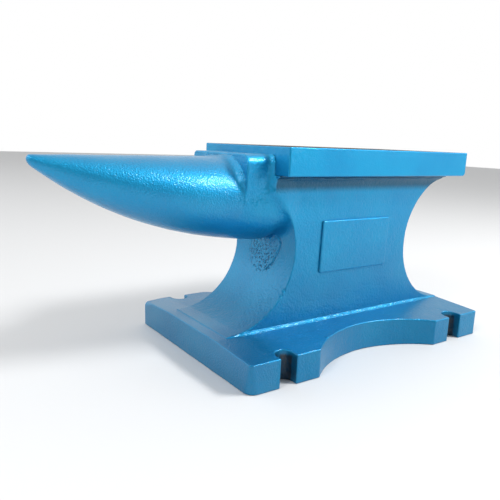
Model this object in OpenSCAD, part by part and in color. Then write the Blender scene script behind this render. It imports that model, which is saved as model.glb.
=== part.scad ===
// Single horn anvil, in millimetres.
// The origin is the centre of the base's underside. +Z is up, the horn points to -X and the heel to +X.

/* [Overall] */
// Height of the working face above the floor
anvil_h = 210; // [200:1:225]

/* [Base] */
// Length of the base, along the anvil
base_l = 325; // [315:1:345]
// Width of the base, across the anvil
base_w = 216; // [205:1:235]
// Thickness of the base at its long edges
base_edge_t = 28.5; // [24:0.5:34]
// Rise of the base top from the long edges to the waist, in degrees
base_slope = 3; // [1:0.25:5]
// Radius of the upright corner under the horn on the near side, which is worn round
worn_corner_r = 10; // [4:0.5:14]
// Radius of the other three upright corners
base_corner_r = 2.5; // [1:0.25:8]
// Chamfer along the top of the long edges
base_chamfer = 1.5; // [0.5:0.25:3]
// Length of the shallow arc cut in each long side
side_arc_l = 169; // [140:1:185]
// Depth of that arc
side_arc_depth = 31; // [20:0.5:36]
// Width of the four hold-down notches
notch_w = 20; // [14:0.5:24]
// Depth of the notches from the long edge to their round end
notch_depth = 16; // [12:0.5:22]
// Distance between the notches of one side
notch_pitch = 242; // [232:1:252]

/* [Waist] */
// Length of the waist where the two arcs come closest
waist_l = 163.5; // [150:0.5:175]
// Distance of the waist's middle from the base's middle, towards the heel
waist_shift = 8.25; // [0:0.25:14]
// Width of the waist at its foot
waist_w = 99; // [92:0.5:106]
// Outward lean of the side walls, in degrees
waist_draft = 1.7; // [0.5:0.1:2.2]
// Fillet between the side walls and the base
foot_fillet_r = 3.5; // [2:0.25:6]
// Fillet under the overhang of the face plate
cove_r = 12; // [9:0.5:15]
// Least thickness of the casting along the plate's sides, where the coves run out
side_lip = 2; // [1.5:0.25:3]
// Least thickness of the casting under the plate's heel, where the hollow runs out
heel_lip = 3; // [2.5:0.25:4.5]

/* [Face plate] */
// Length of the face plate
face_l = 264; // [250:1:275]
// Width of the face plate
face_w = 148; // [140:1:160]
// Thickness of the face plate
face_t = 26.5; // [22:0.5:32]
// Distance of the plate's middle from the base's middle, towards the heel
face_shift = 27.5; // [24:0.5:31]
// Rounding of the plate's lower edge at the heel
heel_edge_r = 5; // [2:0.5:8]
// Radius of the bead that joins the plate to the casting
weld_r = 2; // [1:0.25:3]

/* [Table] */
// Length of the step between the horn and the face
table_l = 29.5; // [22:0.5:34]
// Width of the step
table_w = 100; // [98:0.5:104]
// Drop from the face to the top of the step
table_drop = 7.5; // [5:0.25:9]
// Rounding along the sides of the step's top
table_edge_r = 7; // [4:0.5:10]
// Fillet between the step's sides and the plate's front
table_flare_r = 7.5; // [5:0.5:12]
// Least thickness of those fillets where they run out on the plate
flare_lip = 1; // [0.5:0.1:1.5]

/* [Horn] */
// Length of the horn from the step to its tip
horn_l = 176.5; // [150:0.5:200]
// Width of the horn at its root
horn_w = 95.6; // [90:0.2:98]
// Height of the horn at its root
horn_h = 79.6; // [70:0.2:86]
// Radius of the blunt tip
horn_tip_r = 3.7; // [2:0.1:6]
// Drop from the face to the top of the horn at its root
horn_drop = 11.5; // [10:0.25:14]
// Further drop of the top line from the root to the tip
horn_fall = 1.4; // [0:0.1:6]
// Length over which the horn would stop growing
swell_l = 388; // [340:1:440]
// How fast the horn swells behind its tip
swell_power = 3.7; // [2.5:0.1:4.5]
// Fillet between the horn's upper side and the step, which ends in a lip there
horn_fillet_r = 8; // [5:0.5:10]

/* [Holes in the heel] */
// Side of the square hardy hole
hardy_w = 25; // [20:0.5:28]
// Distance from the plate's heel end to the middle of the hardy hole
hardy_inset = 40; // [38:0.5:44]
// Diameter of the round pritchel hole
pritchel_d = 13; // [10:0.5:16]
// Distance from the plate's heel end to the middle of the pritchel hole
pritchel_inset = 17; // [14:0.5:19]
// Distance of the pritchel hole from the middle line
pritchel_side = 30; // [26:0.5:40]

/* [Raised pad] */
// Length of the raised pad on the near wall
pad_l = 98; // [80:1:110]
// Height of the raised pad
pad_h = 54.5; // [44:0.5:60]
// How far the pad stands out of the wall
pad_t = 2; // [1.5:0.25:4]
// Distance of its middle from the base's middle, towards the heel
pad_x = 8.6; // [4:0.2:14]
// Height of its middle above the floor
pad_z = 110.5; // [104:0.5:116]

/* [Hidden] */
$fn = 96;

paint = [0.14, 0.56, 0.80];
paint_dark = [0.10, 0.42, 0.66];
paint_deep = [0.08, 0.36, 0.58];

// How far a cutting shape runs past what it cuts
past = 5;
// How deep one part of a casting runs into the next
sunk = 6;
// How far a rounding's circle crosses the faces that it touches
bite = 0.01;

// Heights
seat_z = anvil_h - face_t;
foot_y = waist_w / 2;
foot_z = base_edge_t + (base_w / 2 - foot_y) * tan(base_slope);
wall_top_y = foot_y + (seat_z - foot_z) * tan(waist_draft);
table_z = anvil_h - table_drop;

// The throat and the heel hollow share one radius and one height.
// They run out this far above the foot, so that the waist's tips aren't knife edges
blunt = 0.5;
arc_r = (seat_z - foot_z - blunt) / 2;
arc_z = seat_z - arc_r;
throat_x = waist_shift - waist_l / 2 - arc_r;
hollow_x = waist_shift + waist_l / 2 + arc_r;
// The waist's heel tip stops short of the base's heel end by this much
tip_inset = 5.5;

// The face plate, the step and the horn, one behind the other
face_front_x = face_shift - face_l / 2;
face_heel_x = face_shift + face_l / 2;
table_front_x = face_front_x - table_l;
tip_x = table_front_x - horn_l;

// Where the casting under the plate ends: at the sides and at the heel
cove_turn = 90 + waist_draft;
flange_y = wall_top_y + cove_r / tan(cove_turn / 2) - sqrt(pow(cove_r, 2) - pow(cove_r - side_lip, 2));
flange_heel_x = hollow_x - sqrt(pow(arc_r, 2) - pow(arc_r - heel_lip, 2));

// Height over which the step's sides draw in at their foot, and how deep in the neck they end
table_draw_h = 13;
table_sink = 1;

// The neck is the horn's root, carried on into the waist
neck_in = 64;
horn_top_z = anvil_h - horn_drop;
horn_mid_z = horn_top_z - horn_h / 2;

// Points and rings of the horn's and the neck's lofts
RING = 48;
NECK_RINGS = 6;
HORN_RINGS = 18;
TIP_RINGS = 5;
FILLET_RINGS = 5;
// The flank's rings crowd towards the tip
crowding = 1.3;
// Angle above the horn's axis over which its fillet opens out of the flanks
flank_turn = 30;
// How far inside the step's outline that fillet's edge stays
fillet_inset = 0.7;

// The corner between two directions of length one, less a circle that touches both: a fillet's web.
// It reaches a little past the corner, and the circle a little past both sides, so that it cuts cleanly
module corner_web(corner, along, up, r) {
    turn = acos(along * up);
    reach = r / tan(turn / 2);
    middle = (along + up) / norm(along + up);
    difference() {
        polygon([corner - middle, corner + along * reach, corner + up * reach]);
        translate(corner + middle * r / sin(turn / 2)) circle(r + bite);
    }
}

// Lays a drawing of the cross-section (across, up) along the anvil from x0 to x1
module along_x(x0, x1) {
    translate([x0, 0, 0])
    rotate([90, 0, 90])
    linear_extrude(x1 - x0) children();
}

// Lays a drawing of the side view (along, up) across the anvil, as wide as w
module across_y(w) {
    translate([0, w / 2, 0])
    rotate([90, 0, 0])
    linear_extrude(w) children();
}

// Plan of the base with round corners, side arcs and hold-down notches
module base_plan() {
    side_arc_r = (pow(side_arc_l / 2, 2) + pow(side_arc_depth, 2)) / (2 * side_arc_depth);
    difference() {
        square([base_l, base_w], center = true);
        for (sx = [-1, 1], sy = [-1, 1])
            corner_web([sx * base_l / 2, sy * base_w / 2], [-sx, 0], [0, -sy],
                sx < 0 && sy < 0 ? worn_corner_r : base_corner_r);
        for (sy = [-1, 1])
            translate([0, sy * (base_w / 2 - side_arc_depth + side_arc_r)]) circle(side_arc_r);
        for (sx = [-1, 1], sy = [-1, 1])
            translate([sx * notch_pitch / 2, sy * base_w / 2]) notch_plan();
    }
}

// One notch, open to the long edge and round at its inner end
module notch_plan() {
    union() {
        for (sy = [-1, 1]) translate([0, sy * (notch_depth - notch_w / 2)]) circle(notch_w / 2);
        square([notch_w, 2 * notch_depth - notch_w], center = true);
    }
}

// Cross-section of the base: flat under the waist, falling to the long edges
module base_section() {
    chamfer_y = base_w / 2 - base_chamfer;
    chamfer_z = base_edge_t + base_chamfer * tan(base_slope);
    polygon([
        [-base_w / 2, 0], [base_w / 2, 0], [base_w / 2, base_edge_t - base_chamfer], [chamfer_y, chamfer_z],
        [foot_y, foot_z], [-foot_y, foot_z],
        [-chamfer_y, chamfer_z], [-base_w / 2, base_edge_t - base_chamfer]
    ]);
}

module base() {
    intersection() {
        linear_extrude(foot_z + past) base_plan();
        along_x(-base_l / 2, base_l / 2) base_section();
    }
}

// The open space on one side of the waist, in cross-section, with its two inner corners filleted.
// Past the foot fillet's toe it drops into the base, which has its own top there
module waist_air() {
    lean = [sin(waist_draft), cos(waist_draft)];
    fall = [cos(base_slope), -sin(base_slope)];
    foot = [foot_y, foot_z];
    toe = foot + fall * foot_fillet_r / tan((90 + base_slope - waist_draft) / 2);
    out_y = flange_y + past;
    deep_z = foot_z - sunk - past;
    difference() {
        polygon([toe, foot, [wall_top_y, seat_z], [out_y, seat_z], [out_y, deep_z], [toe.x, deep_z]]);
        corner_web(foot, fall, lean, foot_fillet_r);
        corner_web([wall_top_y, seat_z], [1, 0], -lean, cove_r);
    }
}

// Cross-section of the waist: leaning walls, a fillet at the foot and a cove under the plate
module waist_section() {
    difference() {
        translate([-flange_y, foot_z - sunk]) square([2 * flange_y, seat_z - foot_z + sunk]);
        for (s = [0, 1]) mirror([s, 0]) waist_air();
    }
}

// Side view of the waist, taller than its cross-section: the throat's arc and the heel's hollow
module waist_side() {
    low = foot_z - sunk - past;
    difference() {
        union() {
            translate([throat_x, low]) square([base_l / 2 - tip_inset - throat_x, arc_z - low]);
            translate([face_front_x, low]) square([flange_heel_x - face_front_x, seat_z + past - low]);
        }
        for (x = [throat_x, hollow_x]) translate([x, arc_z]) circle(arc_r);
    }
}

module waist() {
    intersection() {
        across_y(2 * flange_y + past) waist_side();
        along_x(throat_x - past, base_l / 2) waist_section();
    }
}

// How far the horn has swelled at s behind its tip, as a share of its size at the root
function swell(s) = (1 - pow(1 - s / swell_l, swell_power)) / (1 - pow(1 - horn_l / swell_l, swell_power));
function half_size(size, s) = horn_tip_r + (size / 2 - horn_tip_r) * swell(s);
function top_line(s) = horn_top_z - horn_fall * (1 - s / horn_l);

// How far the horn's fillet reaches out on the step, around the ring at angle a.
// It opens out of the flanks, and its edge stays inside the step's outline
function fillet_reach(a) =
    let (
        open = pow(sin(90 * min(1, a / flank_turn, (180 - a) / flank_turn)), 2),
        room_y = (table_w / 2 - fillet_inset) / max(abs(cos(a)), 0.01) - horn_w / 2,
        room_z = (table_z - fillet_inset - horn_mid_z) / max(sin(a), 0.01) - horn_h / 2
    )
    max(0, min(horn_fillet_r * open, room_y, room_z));

// The fillet's outward push at a distance d from the step
function fillet_push(d, a) = d >= horn_fillet_r || a <= 0 || a >= 180 ? 0 :
    fillet_reach(a) * (1 - sqrt(1 - pow(1 - d / horn_fillet_r, 2)));

// One ring of the horn at s behind the tip. The rings within the tip's radius round it off
function horn_ring(s) =
    let (
        cap = s >= horn_tip_r ? 1 : sqrt(1 - pow(1 - s / horn_tip_r, 2)),
        half_w = half_size(horn_w, s),
        half_h = half_size(horn_h, s),
        d = horn_l - s
    )
    [for (i = [0 : RING - 1])
        let (a = 360 * i / RING, push = fillet_push(d, a))
        [tip_x + s, (half_w * cap + push) * cos(a), top_line(s) - half_h + (half_h * cap + push) * sin(a)]];

// One ring of the neck: the horn's lower half with upright sides above it
function neck_ring(s) =
    let (half_w = half_size(horn_w, s), half_h = half_size(horn_h, s))
    concat(
        [for (i = [RING / 2 : RING])
            let (a = 360 * i / RING)
            [tip_x + s, half_w * cos(a), top_line(s) - half_h + half_h * sin(a)]],
        [[tip_x + s, half_w, seat_z], [tip_x + s, -half_w, seat_z]]
    );

// A closed solid through rings that all have the same number of points
module loft(rings) {
    n = len(rings[0]);
    count = len(rings);
    sides = [for (k = [0 : count - 2], i = [0 : n - 1])
        let (j = (i + 1) % n, a = k * n, b = (k + 1) * n)
        each [[a + i, b + i, b + j], [a + i, b + j, a + j]]];
    first = [[for (i = [0 : n - 1]) i]];
    last = [[for (i = [n - 1 : -1 : 0]) (count - 1) * n + i]];
    polyhedron(points = [for (ring = rings) each ring], faces = concat(first, sides, last));
}

// The horn's root behind the step's front, as far as inside the waist
module neck() {
    loft([for (k = [0 : NECK_RINGS - 1]) neck_ring(horn_l + neck_in * k / (NECK_RINGS - 1))]);
}

// The step between the horn and the face, standing on the neck.
// Its sides draw in at their foot, so that they run out on the neck's flanks
module table_block() {
    half_w = table_w / 2;
    low_half_w = horn_w / 2 - table_sink;
    draw_z = horn_mid_z + table_draw_h;
    along_x(table_front_x, face_front_x)
    difference() {
        polygon([
            [-half_w, table_z], [-half_w, draw_z], [-low_half_w, horn_mid_z],
            [low_half_w, horn_mid_z], [half_w, draw_z], [half_w, table_z]
        ]);
        for (s = [0, 1]) mirror([s, 0])
            corner_web([half_w, table_z], [-1, 0], [0, -1], table_edge_r);
    }
}

// The fillets where the step's sides spread onto the plate's front
module table_flares() {
    run_out = sqrt(pow(table_flare_r, 2) - pow(table_flare_r - flare_lip, 2));
    flare_y = table_w / 2 + table_flare_r - run_out;
    low_z = seat_z - sunk;
    translate([0, 0, low_z])
    linear_extrude(table_z - table_edge_r - low_z)
    for (s = [0, 1]) mirror([0, s])
        intersection() {
            corner_web([face_front_x, table_w / 2], [-1, 0], [0, 1], table_flare_r);
            translate([table_front_x, 0]) square([table_l, flare_y]);
        }
}

// The square hardy hole and the round pritchel hole, the same through plate and casting
module heel_holes() {
    hole_h = anvil_h - arc_z + past;
    translate([face_heel_x - hardy_inset - hardy_w / 2, -hardy_w / 2, arc_z])
    cube([hardy_w, hardy_w, hole_h]);
    translate([face_heel_x - pritchel_inset, pritchel_side, arc_z])
    cylinder(h = hole_h, d = pritchel_d);
}

// Base, waist, neck and step: one iron casting
module body_casting() {
    color(paint_dark)
    difference() {
        union() {
            base();
            waist();
            neck();
            table_block();
            table_flares();
        }
        heel_holes();
    }
}

// The horn, seated against the neck and the step. Its rings are close together where it is round:
// at the tip and along the fillet before the step
module horn() {
    tip = [for (k = [1 : TIP_RINGS]) horn_tip_r * (1 - cos(90 * k / TIP_RINGS))];
    flank_l = horn_l - horn_tip_r - horn_fillet_r;
    flank = [for (k = [1 : HORN_RINGS]) horn_tip_r + flank_l * pow(k / HORN_RINGS, crowding)];
    root = [for (k = [1 : FILLET_RINGS]) horn_l - horn_fillet_r * (1 - sin(90 * k / FILLET_RINGS))];
    color(paint)
    loft([for (s = concat(tip, flank, root)) horn_ring(s)]);
}

// The steel face plate, with its lower edge rounded at the heel
module face_plate() {
    color(paint)
    difference() {
        across_y(face_w)
        difference() {
            translate([face_front_x, seat_z]) square([face_l, face_t]);
            corner_web([face_heel_x, seat_z], [-1, 0], [0, 1], heel_edge_r);
        }
        heel_holes();
    }
}

// The bead in the corner between the casting's lip and the plate, along both sides
module face_weld() {
    color(paint_deep)
    for (s = [0, 1]) mirror([0, s, 0])
        along_x(face_front_x, flange_heel_x)
        intersection() {
            translate([flange_y, seat_z]) circle(weld_r);
            translate([flange_y, seat_z - weld_r]) square([weld_r, weld_r]);
        }
}

// The raised pad on the near wall, leaning with it
module raised_pad() {
    wall_y = foot_y + (pad_z - foot_z) * tan(waist_draft);
    color(paint)
    translate([pad_x, -wall_y, pad_z])
    rotate([waist_draft, 0, 0])
    translate([-pad_l / 2, -pad_t, -pad_h / 2])
    cube([pad_l, pad_t, pad_h]);
}

body_casting();
horn();
face_plate();
face_weld();
raised_pad();
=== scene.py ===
"""The looks of a single horn anvil: an iron casting under a steel plate, in blue metallic enamel.

The casting is one smooth field of signed distances, because its waist, neck, horn and step flow
into each other. The field is meshed on a lattice, drawn onto its own zero level and cut in two by
one plane at the horn's root. The plate and the pad have fields of their own.
All sizes here are in millimetres; meshes are made in metres.
"""

import math

import bmesh
import bpy
import numpy as np
from mathutils import Matrix, Vector


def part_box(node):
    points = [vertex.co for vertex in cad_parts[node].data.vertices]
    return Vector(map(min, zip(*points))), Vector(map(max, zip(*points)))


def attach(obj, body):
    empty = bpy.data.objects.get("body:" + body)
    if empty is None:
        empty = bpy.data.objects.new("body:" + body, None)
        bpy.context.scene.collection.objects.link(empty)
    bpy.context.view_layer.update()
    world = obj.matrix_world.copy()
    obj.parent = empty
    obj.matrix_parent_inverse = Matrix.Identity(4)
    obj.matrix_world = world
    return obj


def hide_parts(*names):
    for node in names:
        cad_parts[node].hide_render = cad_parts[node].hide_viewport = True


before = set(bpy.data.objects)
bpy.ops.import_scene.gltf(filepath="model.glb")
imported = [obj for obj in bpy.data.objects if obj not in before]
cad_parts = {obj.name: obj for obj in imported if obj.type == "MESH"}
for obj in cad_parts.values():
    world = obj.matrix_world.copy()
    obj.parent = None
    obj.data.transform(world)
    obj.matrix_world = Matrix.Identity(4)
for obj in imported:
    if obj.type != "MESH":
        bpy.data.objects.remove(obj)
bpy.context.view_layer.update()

MM = 0.001


def box_mm(node):
    """Lowest and highest corner of a frame node, in millimetres."""
    low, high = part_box(node)
    return np.array(low) / MM, np.array(high) / MM


def slope_of(degrees):
    """The rise over one unit of length at an angle."""
    return math.tan(math.radians(degrees))


# Sizes that the frame gives
body_low, body_high = box_mm("body_casting")
horn_low, horn_high = box_mm("horn")
plate_low, plate_high = box_mm("face_plate")
weld_low, weld_high = box_mm("face_weld")
pad_low, pad_high = box_mm("raised_pad")

BASE_L = body_high[0] - body_low[0]
BASE_W = body_high[1] - body_low[1]
STEP_Z = body_high[2]
SEAT_Z, FACE_Z = plate_low[2], plate_high[2]
PLATE_FRONT, PLATE_HEEL = plate_low[0], plate_high[0]
PLATE_HALF_W = plate_high[1]
ROOT_X = horn_high[0]
# The weld ends where the casting's lip under the plate does
LIP_HEEL = weld_high[0]

# The base: a slab that rises a little from its long edges to the waist, at an angle in degrees
EDGE_T = 28.5
CROWN = 3.0
CORNER_R = 2.5
SIDE_ARC_L = 169.0
SIDE_ARC_DEPTH = 31.0
SIDE_ARC_X = 1.8
SIDE_ARC_R = (SIDE_ARC_L ** 2 / 4 + SIDE_ARC_DEPTH ** 2) / (2 * SIDE_ARC_DEPTH)
HORN_NOTCH_X, HORN_NOTCH_R = -120.1, 9.1
HEEL_NOTCH_X, HEEL_NOTCH_R = 121.0, 10.0
NOTCH_DEPTH = 16.0
TOP_EDGE_R = 1.3
ARRIS_R = 0.8

# Two corners under the horn are worn: the near one at its foot, and the far one on its top
WORN_CORNER_R = 10.0
WORN_CORNER_TOP_R = 3.5
DULL_CORNER_R = 6.5
DULL_CORNER_REACH = (3, 24)

# The waist: two leaning walls between two arcs of one radius, narrowest halfway up
FOOT_Y = 49.5
FAR_FOOT_Y = 51.0
FOOT_Z = EDGE_T + (BASE_W / 2 - FOOT_Y) * slope_of(CROWN)
DRAFT = 1.7
FOOT_FILLET_R = 2.0
COVE_R = 12.0
COVE_Y = 60.0
ARC_BLUNT = 0.5
ARC_R = (SEAT_Z - FOOT_Z - ARC_BLUNT) / 2
ARC_Z = SEAT_Z - ARC_R
NARROW_X, NARROW_L = 8.25, 163.5
THROAT_X = NARROW_X - NARROW_L / 2 - ARC_R
HOLLOW_X = NARROW_X + NARROW_L / 2 + ARC_R
WAIST_EDGE_R = 1.0
TOE_R = 2.0

# The bead along the walls' foot: it is sunk into the corner and grows from its ends
FOOT_BEAD_X, FOOT_BEAD_END = 1.5, 150.0
FOOT_BEAD_SUNK = 1.2
FOOT_BEAD_END_R, FOOT_BEAD_GROWTH = 1.5, 2.3
FOOT_BEAD_TAPER = 26

# Casting faults: a rough patch in the throat with a crack at its side, as points of y and z
PATCH_Y, PATCH_Z = 2.0, 100.0
PATCH_HALF_W, PATCH_HALF_H = 27.0, 23.0
THROAT_CRACK = (
    (-12.0, 115.0), (-18.0, 120.5), (-22.4, 121.4), (-28.7, 112.2),
    (-25.7, 106.1), (-20.9, 96.2), (-15.8, 86.8), (-8.0, 80.5))
CRACK_DEPTH = 0.9

# The ragged groove under the plate, which wanders up and down by as much as half its width
GROOVE_Z = 180.6
GROOVE_DEPTH = 0.7
GROOVE_WANDER, GROOVE_HALF_W = 1.1, 1.1

# Pits as x, y, z, depth and reach: two on the waist's edge, a crumb of flash on the side arc,
# one on the base's side, one on its top under the horn and one in the throat
PITS = (
    (-83.8, -49.9, 69.7, 1.5, 2.6), (-86.8, -49.9, 64.9, 1.5, 2.6),
    (-58.5, -89.0, 29.4, -0.9, 2.6), (91.4, -108.0, 6.2, 0.5, 1.6),
    (-151.6, -25.6, 32.6, 0.3, 1.3), (-91.7, 14.1, 58.6, 0.3, 1.4))

# The horn and the neck behind it: one swelling law for both
HORN_L = 176.5
TIP_X = ROOT_X - HORN_L
HORN_HALF_W = 47.8
HORN_HALF_H = 39.8
TIP_R = 3.7
ROOT_TOP_Z = FACE_Z - 11.5
TOP_FALL = 1.4
SWELL_L = 388.0
SWELL_POWER = 3.7
NECK_END_X = -72.0
NECK_END_R = 25.0
NECK_HIGH_Z = 174.0
NECK_BLEND_R = 13.0

# The flare at the horn's root, and its lip, which runs back along the flank below a height
ROOT_FLARE = 8.0
FLARE_TURN = math.radians(30)
FLARE_INSET = 0.7
LIP_R = 0.8
LIP_HIGH_Z, LIP_FALL = 178, 24
LIP_RUN_BACK = 0.2

# The step between horn and plate
STEP_HALF_W = 50.0
STEP_FRONT = ROOT_X + 0.7
STEP_SIDE_R = 10.0
STEP_FAR_SIDE_R = 5.5
STEP_FRONT_R = 1.4
STEP_LOW_Z = ROOT_TOP_Z - HORN_HALF_H
STEP_DRAW_H = 13.0
STEP_DRAW = 3.2
STEP_BLEND_R = 3.0

# Its fillet onto the plate's front, and the heights and widths over which that grows
STEP_FILLET_R = 7.5
STEP_FILLET_LIP = 0.9
STEP_FILLET_RISE = (STEP_LOW_Z + 6, SEAT_Z - 3)
STEP_FILLET_SPREAD = (14, 34)

# The face plate's edges, and the two holes in its heel
PLATE_CORNER_R = 1.2
PLATE_HEEL_R = 0.5
FACE_EDGE_R = 0.7
SEAT_EDGE_R = 0.9
HEEL_EDGE_R = 5.0
HOLE_EDGE_R = 0.6
HARDY_X = PLATE_HEEL - 40
HARDY_HALF_W = 12.5
PRITCHEL_X, PRITCHEL_Y = PLATE_HEEL - 17, 30
PRITCHEL_R = 6.5

# The raised pad: how far it stands out of the wall and reaches into it
PAD_PROUD, PAD_SUNK = 1.9, 0.3
PAD_EDGE_R = 1.3
PAD_CORNER_R = 2.0

# The weld under the plate: its radius, and where its middle runs in the weld's box
BEAD_R = 1.5
BEAD_END_GAP = 0.6
BEAD_SIDE_GAP = 2.1
BEAD_ABOVE_SEAT = 0.1
BEAD_WANDER = 0.9
RIPPLE_L, RIPPLE_H = 2.9, 1.0

# The enamel's blues; painted shade towards the floor, in the coves under the plate, in the notches
# and in the pits; the face's browned steel
PAINT_DEEP, PAINT_BRIGHT = "#0D84BB", "#14A2D0"
# Painted shade: the enamel is darkened towards the floor, fully below the lower height and not at
# all above the upper one
PAINTED_LOW_SHADE = "#E6DDE0"
LOW_SHADE_FULL_Z, LOW_SHADE_GONE_Z = 35, 175
# Painted shade in the coves under the plate's overhang, and where that shade starts across and up
PAINTED_COVE_SHADE = "#0E3A50"
PAINTED_COVE_SHADE_Y, PAINTED_COVE_SHADE_Z = 51.8, 169.5
# Painted shade in the notches: dark blue, mottled with brown
NOTCH_SHADE_BLUE, NOTCH_BROWN = "#122C3E", "#3D3A38"
NOTCH_MARGIN = 0.15
PIT_SHADE = "#0B3F66"
STEEL_DARK, STEEL_PALE = "#332D2A", "#5D5752"
FLOOR_PALE = "#D8D9DA"

# The room: the way to its bright side, and its light on the dark side and on the bright one
SWEEP_WAY = (0.30, 0.86, 0.41)
ROOM_LIGHT, SWEEP_LIGHT = 0.22, 0.9

# The soft boxes: a name, the way to the box, and in metres its distance, width and height, then
# its power in watts. All of them face the neck
LIGHT_AIM = (-0.1, 0, 0.17)
LIGHTS = (
    ("key", (0.54, -0.49, 0.68), 1.9, (0.6, 0.34), 31),
    ("side", (0.72, -0.66, 0.18), 2.2, (1.3, 0.6), 7),
    ("left", (-0.70, 0.60, 0.42), 3.0, (2.6, 2.2), 19),
    ("front", (-0.72, -0.28, 0.62), 2.2, (0.5, 0.9), 16))

# The lattice on which a field is meshed, in blocks of cells, and the points worked out at a time
CELL = 1.2
PAD_CELL = 0.8
BLOCK = 8
CHUNK = 250000
CASTING_TRIANGLES = 190000
PLATE_TRIANGLES = 60000
PAD_TRIANGLES = 30000

NOISE_PERIOD = 32
SEED = 11


def round_union(a, b, r):
    """Two solids joined with a fillet of radius r."""
    web = np.hypot(np.maximum(r - a, 0), np.maximum(r - b, 0))
    return np.maximum(r, np.minimum(a, b)) - web


def round_cut(a, b, r):
    """What two solids share, with its edge rounded to radius r."""
    ball = np.hypot(np.maximum(r + a, 0), np.maximum(r + b, 0))
    return np.minimum(-r, np.maximum(a, b)) + ball


def smooth_step(x, low, high):
    """0 below low, 1 above high and a soft rise between them."""
    t = np.clip((x - low) / (high - low), 0, 1)
    return t * t * (3 - 2 * t)


lattice_values = np.random.default_rng(SEED).random((NOISE_PERIOD,) * 3) * 2 - 1


def noise(x, y, z):
    """Smooth random values from -1 to 1 that change over one unit of length."""
    cells = [np.floor(v).astype(np.int64) for v in (x, y, z)]
    u, v, w = [smooth_step(value - cell, 0, 1) for value, cell in zip((x, y, z), cells)]
    i, j, k = [cell % NOISE_PERIOD for cell in cells]
    i1, j1, k1 = [(index + 1) % NOISE_PERIOD for index in (i, j, k)]
    near = (lattice_values[i, j, k] * (1 - u) + lattice_values[i1, j, k] * u) * (1 - v)
    near += (lattice_values[i, j1, k] * (1 - u) + lattice_values[i1, j1, k] * u) * v
    far = (lattice_values[i, j, k1] * (1 - u) + lattice_values[i1, j, k1] * u) * (1 - v)
    far += (lattice_values[i, j1, k1] * (1 - u) + lattice_values[i1, j1, k1] * u) * v
    return near * (1 - w) + far * w


def swell(s):
    """The horn's growth at s behind its tip, as a share of its size at the root."""
    grown = 1 - np.power(np.clip(1 - s / SWELL_L, 0, 1), SWELL_POWER)
    return grown / (1 - (1 - (ROOT_X - TIP_X) / SWELL_L) ** SWELL_POWER)


def ellipse(y, z, half_w, half_h):
    """Distance to an ellipse, true to the first order."""
    ratio = np.hypot(y / half_w, z / half_h)
    steepness = np.hypot(y / half_w ** 2, z / half_h ** 2)
    return ratio * (ratio - 1) / np.maximum(steepness, 1e-6)


def swelling_bar(x, y, z):
    """The horn, carried on behind its root as the neck.

    Gives the distance to it, and how far up and across a point is, as shares of its half sizes.
    """
    s = np.maximum(x - TIP_X, 0)
    half_w = TIP_R + (HORN_HALF_W - TIP_R) * swell(s)
    half_h = TIP_R + (HORN_HALF_H - TIP_R) * swell(s)
    top_z = ROOT_TOP_Z - TOP_FALL * np.clip((ROOT_X - x) / (ROOT_X - TIP_X), 0, 1)
    over = z - (top_z - half_h)
    # A skin that leans as the bar grows is nearer than its section says
    growth = (HORN_HALF_W - TIP_R) * (swell(s + 0.5) - swell(s - 0.5))
    slant = 1 / np.sqrt(1 + (0.6 * growth) ** 2)
    return ellipse(y, over, half_w, half_h) * slant, over / half_h, np.abs(y) / half_w


def horn_solid(x, y, z):
    """The horn with its blunt tip and the flare at its root, which ends in a lip."""
    bar, up, across = swelling_bar(x, y, z)
    angle = np.arctan2(np.maximum(up, 0), across)
    opened = np.sin(np.pi / 2 * np.clip(angle / FLARE_TURN, 0, 1)) ** 2
    # The flare stays inside the step's outline
    room_y = (STEP_HALF_W - FLARE_INSET) / np.maximum(np.cos(angle), 0.01) - HORN_HALF_W
    step_h = STEP_Z - FLARE_INSET - STEP_LOW_Z
    room_z = step_h / np.maximum(np.sin(angle), 0.01) - HORN_HALF_H
    reach = np.maximum(np.minimum(np.minimum(ROOT_FLARE * opened, room_y), room_z), 0)
    # The lip runs back along the flank, where the flare dies out
    lip_x = ROOT_X + LIP_RUN_BACK * np.clip(LIP_HIGH_Z - z, 0, LIP_FALL)
    to_lip = np.clip((lip_x - x) / ROOT_FLARE, 0, 1)
    push = reach * (1 - np.sqrt(1 - (1 - to_lip) ** 2))
    flared = round_cut(bar - push, x - lip_x, LIP_R)
    return round_cut(flared, TIP_X - x, TIP_R)


def step_section(y, z):
    """Distance to the step's section. Its upper corners are round and its sides draw in below."""
    drawn = STEP_DRAW * (1 - smooth_step(z, STEP_LOW_Z, STEP_LOW_Z + STEP_DRAW_H))
    corner_r = np.where(y > 0, STEP_FAR_SIDE_R, STEP_SIDE_R)
    side = np.abs(y) - (STEP_HALF_W - corner_r) + drawn
    above = z - (STEP_Z - corner_r)
    outer = np.hypot(np.maximum(side, 0), np.maximum(above, 0))
    return outer + np.minimum(np.maximum(side, above), 0) - corner_r


def step_solid(x, y, z):
    """The step, with the fillet that spreads onto the plate's front and ends in a thin lip."""
    section = step_section(y, z)
    block = round_cut(section, STEP_FRONT - x, STEP_FRONT_R)
    spread = round_union(block, PLATE_FRONT - x, STEP_FILLET_R)
    short = STEP_FILLET_R - STEP_FILLET_LIP
    reach = STEP_FILLET_R - math.sqrt(STEP_FILLET_R ** 2 - short ** 2)
    # The fillet dies away below the plate, and on the step's top towards the middle
    reach = reach * smooth_step(z, *STEP_FILLET_RISE) * smooth_step(np.abs(y), *STEP_FILLET_SPREAD)
    flared = round_cut(spread, section - reach, LIP_R)
    return np.maximum(np.maximum(flared, x - PLATE_FRONT), STEP_LOW_Z - z)


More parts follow.
